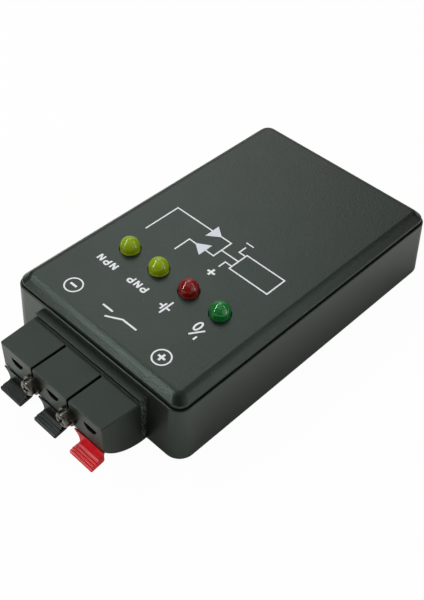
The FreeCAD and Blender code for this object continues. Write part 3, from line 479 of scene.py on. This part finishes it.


# Cast lamp resin

# tinted epoxy, glossy from the mould and clouded inside; the paler colour at its foot is a painted glow
# standing in for light that gathers there
resins = {
    # rim is the colour of a painted glow at the lens's foot, and the last number is how high that painted
    # glow reaches above the lid
    "yellowGreenResin": {"colour": "#a4be04", "deep": "#8cac00", "rim": "#d0de30",
                         "gloss": 0.5, "clear": 0.12, "roughness": 0.03, "cloudMm": 1.6, "paintedGlowMm": 0.7},
    "redResin": {"colour": "#a8170e", "deep": "#820d07", "rim": "#b9503f",
                 "gloss": 0.65, "clear": 0.25, "roughness": 0.03, "cloudMm": 1.6, "paintedGlowMm": 0.5},
    "greenResin": {"colour": "#08953a", "deep": "#05782b", "rim": "#35a558",
                   "gloss": 0.85, "clear": 0.25, "roughness": 0.03, "cloudMm": 1.6, "paintedGlowMm": 0.5},
}
resinIor = 1.53
resinDetail = 2.0


def castResin(name, look):
    material, tree, shader, coords = newMaterial(name, {
        "IOR": resinIor, "Specular IOR Level": look["gloss"], "Roughness": look["roughness"],
        "Transmission Weight": look["clear"]})
    cloud = addNode(tree, "ShaderNodeTexNoise", {"Scale": perMm(look["cloudMm"]), "Detail": resinDetail},
                    {"Vector": coords}).outputs["Fac"]
    tone = addNode(tree, "ShaderNodeMix", {
        "data_type": "RGBA", mixFirst: linear(look["colour"]), mixSecond: linear(look["deep"])}, {0: cloud})
    # painted glow: the lens turns paler close to the lid, standing in for light gathered at its foot
    height = addNode(tree, "ShaderNodeSeparateXYZ", None, {0: coords}).outputs[2]
    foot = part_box("upper_case")[1].z
    low = addNode(tree, "ShaderNodeMapRange", {
        "interpolation_type": "SMOOTHSTEP", "From Min": foot + look["paintedGlowMm"] * mm, "From Max": foot},
        {"Value": height})
    paintedFootGlow = addNode(tree, "ShaderNodeMix", {"data_type": "RGBA", mixSecond: linear(look["rim"])},
                  {0: low.outputs[0], mixFirst: tone.outputs[mixOut]})
    tree.links.new(paintedFootGlow.outputs[mixOut], shader.inputs["Base Color"])
    return material


materials = {name: mouldedPlastic(name, look) for name, look in plastics.items()}
materials.update({name: platedMetal(name, look) for name, look in metals.items()})
materials.update({name: castResin(name, look) for name, look in resins.items()})
sawFlange(materials["blackAbsTerminal"])

slotFinish = {
    "case_plastic": "blackAbsSatin",
    "terminal_plastic": "blackAbsTerminal",
    "phenolic_board": "brownPhenolicPaper",
    "lever_black": "blackAbsLever",
    "lever_red": "redAbsLever",
    "lens_yellow_green": "yellowGreenResin",
    "lens_red": "redResin",
    "lens_green": "greenResin",
    "tinned_wire": "tinnedCopperWire",
    "screw_steel": "nickelPlatedSteel",
    "tinned_brass": "tinnedBrass",
    "spring_steel": "brightSpringSteel",
    "board_laminate": "greenGlassLaminate",
    "moulded_epoxy": "blackMouldedEpoxy",
    "resistor_lacquer": "beigeResistorLacquer",
    "capacitor_sleeve": "blueShrinkSleeve",
    "battery_can": "greyCanLacquer",
    "wire_red": "redPvcInsulation",
    "wire_black": "blackPvcInsulation",
}


def dressNodes():
    for part in frame["record"]["subparts"]:
        node = frame["nodes"][part["node"]]
        node.data.materials.clear()
        node.data.materials.append(materials[slotFinish[part["material_slot"]]])


dressNodes()
print("materials on", len(frame["nodes"]), "nodes")


# Leaf springs under the levers: each is given a mesh of its own

for way in ("negative", "output", "positive"):
    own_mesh(frame["nodes"]["lever_spring_" + way])


# Screws with a cross recess: two through the terminal, four in the underside

# in millimetres, with the turn of each cross in degrees
screws = {
    "terminalScrewPair": {
        "node": "terminal_screws", "headRadius": 2.0, "headHeight": 1.6, "shankRadius": 1.25,
        "facing": "-Y", "crossTurn": (25, 62)},
    "caseScrewSet": {
        "node": "case_screws", "headRadius": 2.5, "headHeight": 1.8, "shankRadius": 1.3,
        "facing": "-Z", "crossTurn": (10, 50, 35, 70)},
}
# widths are shares of the head's radius, heights are shares of its height
screwHead = {
    "segments": 32,
    "flatShare": 0.7,  # the rest is the rounded shoulder
    "roundSteps": 4,
    "roundShare": 0.4,
    "barShare": 0.32,
    "reachShare": 0.64,
    "depthShare": 0.55,
    "taper": 0.6,
}


def screwBlank(headRadius, headHeight, shankRadius, length):
    # head up on +Z with its top at z = 0: the top disc first, then its rim drawn down to the shank's end
    bm = bmesh.new()
    flat = headRadius * screwHead["flatShare"]
    bmesh.ops.create_circle(bm, cap_ends=True, radius=flat, segments=screwHead["segments"])
    bar = headRadius * screwHead["barShare"] / 2
    reach = headRadius * screwHead["reachShare"]
    for along in ((1, 0, 0), (0, 1, 0)):
        for offset in (-reach, -bar, bar, reach):
            everything = bm.verts[:] + bm.edges[:] + bm.faces[:]
            bmesh.ops.bisect_plane(bm, geom=everything, plane_co=Vector(along) * offset, plane_no=along)
    rim = [edge for edge in bm.edges if edge.is_boundary]
    recess = []
    for face in bm.faces:
        spot = face.calc_center_median()
        inner, outer = sorted((abs(spot.x), abs(spot.y)))
        if inner < bar and outer < reach:
            recess.append(face)
    sunk = bmesh.ops.extrude_face_region(bm, geom=recess)["geom"]
    bottom = [part for part in sunk if isinstance(part, bmesh.types.BMVert)]
    bmesh.ops.delete(bm, geom=recess, context="FACES_ONLY")
    bmesh.ops.scale(bm, verts=bottom, vec=(screwHead["taper"], screwHead["taper"], 1))
    bmesh.ops.translate(bm, verts=bottom, vec=(0, 0, -headHeight * screwHead["depthShare"]))
    shoulder = headRadius - flat
    steps = []
    for i in range(screwHead["roundSteps"]):
        angle = math.pi / 2 * (i + 1) / screwHead["roundSteps"]
        drop = headHeight * screwHead["roundShare"] * (1 - math.cos(angle))
        steps.append((flat + shoulder * math.sin(angle), -drop))
    steps += [(headRadius, -headHeight), (shankRadius, -headHeight), (shankRadius, -headHeight - length)]
    wide, high = flat, 0.0
    for radius, z in steps:
        drawn = bmesh.ops.extrude_edge_only(bm, edges=rim)["geom"]
        verts = [part for part in drawn if isinstance(part, bmesh.types.BMVert)]
        rim = [part for part in drawn if isinstance(part, bmesh.types.BMEdge)]
        bmesh.ops.scale(bm, verts=verts, vec=(radius / wide, radius / wide, 1))
        bmesh.ops.translate(bm, verts=verts, vec=(0, 0, z - high))
        wide, high = radius, z
    bmesh.ops.holes_fill(bm, edges=rim)
    return bm


def makeScrews(name, look):
    low, high = (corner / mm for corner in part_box(look["node"]))
    radius = look["headRadius"]
    lefts = (low.x + radius, high.x - radius)
    if look["facing"] == "-Y":
        turn = Matrix.Rotation(math.pi / 2, 4, "X")
        length = high.y - low.y - look["headHeight"]
        places = [(x, low.y, (low.z + high.z) / 2) for x in lefts]
    else:
        turn = Matrix.Rotation(math.pi, 4, "X")
        length = high.z - low.z - look["headHeight"]
        places = [(x, y, low.z) for x in lefts for y in (low.y + radius, high.y - radius)]
    whole = bmesh.new()
    for place, crossTurn in zip(places, look["crossTurn"]):
        one = screwBlank(radius, look["headHeight"], look["shankRadius"], length)
        spin = Matrix.Rotation(math.radians(crossTurn), 4, "Z")
        one.transform(Matrix.Scale(mm, 4) @ Matrix.Translation(place) @ turn @ spin)
        single = bpy.data.meshes.new("screwBlank")
        one.to_mesh(single)
        one.free()
        whole.from_mesh(single)
        bpy.data.meshes.remove(single)
    piece = addPiece(name, whole, materials["nickelPlatedSteel"], "case")
    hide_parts(look["node"])


for screwName, look in screws.items():
    makeScrews(screwName, look)
print("screws made")


# Legend printed on the lid, in millimetres on the lid's top face

legend = {
    "inkHeight": 0.02,
    "inkSink": 0.02,
    "strokeStep": 0.002,  # each stroke lies a hair over the one before, so crossings share no face
    "fillHeight": 0.045,
    "mergeMm": 0.001,
    "ringSegments": 48,
    "arcSteps": 10,
    "fine": 0.38,
    "bold": 0.48,
    "sign": 0.58,
    "ringRadius": 2.2,
    "minusRing": (-14.9, -36.95),
    "plusRing": (15.2, -37.6),
    "signArm": 1.05,
    "letterTop": -27.2,
    "letterFoot": -25.3,
    "letterWidth": 1.21,
    "bowlShare": 0.52,
    "lettersNpn": (("N", -12.4), ("P", -14.64), ("N", -16.82)),
    "lettersPnp": (("P", -1.88), ("N", -4.06), ("P", -6.3)),
    "switch": (((-5.6, -36.15), (-2.24, -36.15)), ((-2.6, -38.3), (1.18, -36.2), (5.63, -36.2))),
    "battery": (((4.43, -27.9), (4.43, -25.66)), ((5.25, -28.92), (5.25, -24.39)),
                ((3.3, -26.8), (4.43, -26.8)), ((5.25, -26.8), (6.5, -26.8))),
    "power": (((14.39, -28.69), (16.47, -25.5)), ((16.29, -29.2), (16.29, -27.95))),
    "powerRing": ((14.36, -25.57), 0.64, 1.33),
    "circuit": (((-17.7, -11.7), (-17.7, -0.55), (0.8, -0.55), (0.8, -6.8), (-7.4, -6.7), (-7.4, -11.8)),
                ((0.8, -4.0), (6.4, -4.0)),
                ((6.4, -1.47), (4.29, -1.47), (4.29, 0.9)),
                ((6.4, -6.3), (4.27, -6.3), (4.27, -8.58)),
                ((3.25, 2.25), (5.6, 2.25))),
    "sensorBox": ((6.4, -7.2), (6.4, -0.95), (18.36, -0.95), (18.36, -7.2)),
    "circuitPlus": (((3.2, -11.2), (5.5, -11.2)), ((4.33, -12.3), (4.33, -10.0))),
    "diodes": (((-5.58, -3.1), (-5.58, 1.68), (-2.3, -0.62)), ((-1.85, -4.5), (-1.85, -9.1), (-5.4, -6.7))),
}


def lidTopHeight():
    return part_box("upper_case")[1].z


def raiseStroke(bm, before, count):
    # the new edges become a thin upright wall through the lid's face
    edges = [edge for edge in bm.edges if edge not in before]
    wall = bmesh.ops.extrude_edge_only(bm, edges=edges)
    upper = [v for v in wall["geom"] if isinstance(v, bmesh.types.BMVert)]
    rise = legend["inkSink"] + legend["inkHeight"] + legend["strokeStep"] * count
    bmesh.ops.translate(bm, verts=upper, vec=(0, 0, rise * mm))


def inkMark(name, width, lines=(), loops=(), rings=(), arcs=()):
    # each stroke stands up as a thin wall, and the wall's thickness is the printed width
    bm = bmesh.new()
    floor = lidTopHeight() - legend["inkSink"] * mm
    count = 0
    for points in [*lines, *(loop + loop[:1] for loop in loops)]:
        before = set(bm.edges)
        verts = [bm.verts.new((x * mm, y * mm, floor)) for x, y in points]
        for a, b in zip(verts, verts[1:]):
            bm.edges.new((a, b))
        if points[0] == points[-1]:
            bmesh.ops.remove_doubles(bm, verts=verts, dist=legend["mergeMm"] * mm)
        raiseStroke(bm, before, count)
        count += 1
    for centre, radiusX, radiusY in rings:
        before = set(bm.edges)
        ring = bmesh.ops.create_circle(bm, segments=legend["ringSegments"], radius=1.0)["verts"]
        bmesh.ops.scale(bm, verts=ring, vec=(radiusX * mm, radiusY * mm, 1))
        bmesh.ops.translate(bm, verts=ring, vec=(centre[0] * mm, centre[1] * mm, floor))
        raiseStroke(bm, before, count)
        count += 1
    for start, centre, angle in arcs:
        before = set(bm.edges)
        seed = bm.verts.new((start[0] * mm, start[1] * mm, floor))
        bmesh.ops.spin(bm, geom=[seed], cent=(centre[0] * mm, centre[1] * mm, 0), axis=(0, 0, 1),
                       angle=angle, steps=legend["arcSteps"], use_duplicate=False)
        raiseStroke(bm, before, count)
        count += 1
    piece = addPiece(name, bm, materials["whiteScreenInk"], "case")
    thick = piece.modifiers.new("printWidth", "SOLIDIFY")
    thick.thickness = width * mm
    thick.offset = 0
    thick.use_even_offset = True


def filledMark(name, shapes):
    # flat shapes with a small height, in the thinner ink
    bm = bmesh.new()
    floor = lidTopHeight() - legend["inkSink"] * mm
    for points in shapes:
        bm.faces.new([bm.verts.new((x * mm, y * mm, floor)) for x, y in points])
    raised = bmesh.ops.extrude_face_region(bm, geom=bm.faces[:], use_keep_orig=True)["geom"]
    upper = [v for v in raised if isinstance(v, bmesh.types.BMVert)]
    bmesh.ops.translate(bm, verts=upper, vec=(0, 0, (legend["inkSink"] + legend["fillHeight"]) * mm))
    addPiece(name, bm, materials["paleScreenInk"], "case")


def letterLines(text):
    # strokes and bowls of the letters N and P, which are read from the lid's rear end
    top = legend["letterTop"]
    foot = legend["letterFoot"]
    wide = legend["letterWidth"]
    lines = []
    arcs = []
    for letter, x in text:
        if letter == "N":
            far = x - wide
            lines += [((x, foot), (x, top)), ((x, top), (far, foot)), ((far, foot), (far, top))]
        else:
            waist = top + (foot - top) * legend["bowlShare"]
            bowl = (waist - top) / 2
            bend = x - wide + bowl
            lines += [((x, foot), (x, top)), ((x, top), (bend, top)), ((x, waist), (bend, waist))]
            arcs.append(((bend, top), (bend, top + bowl), -math.pi))
    return lines, arcs


def makeLegend():
    fine = legend["fine"]
    bold = legend["bold"]
    arm = legend["signArm"]
    for name, key in (("legendMinus", "minusRing"), ("legendPlus", "plusRing")):
        x, y = legend[key]
        inkMark(name + "Ring", fine, rings=[((x, y), legend["ringRadius"], legend["ringRadius"])])
        lines = [((x - arm, y), (x + arm, y))]
        if key == "plusRing":
            lines.append(((x, y - arm), (x, y + arm)))
        inkMark(name, legend["sign"], lines)
    inkMark("legendSwitch", bold, legend["switch"])
    inkMark("legendBattery", bold, legend["battery"])
    inkMark("legendPower", bold, legend["power"], rings=[legend["powerRing"]])
    for name, text in (("legendNpn", legend["lettersNpn"]), ("legendPnp", legend["lettersPnp"])):
        lines, arcs = letterLines(text)
        inkMark(name, bold, lines, arcs=arcs)
    inkMark("legendCircuit", fine, legend["circuit"], loops=[legend["sensorBox"]])
    inkMark("legendCircuitPlus", legend["sign"], legend["circuitPlus"])
    filledMark("legendDiodes", legend["diodes"])


makeLegend()
print("legend printed")
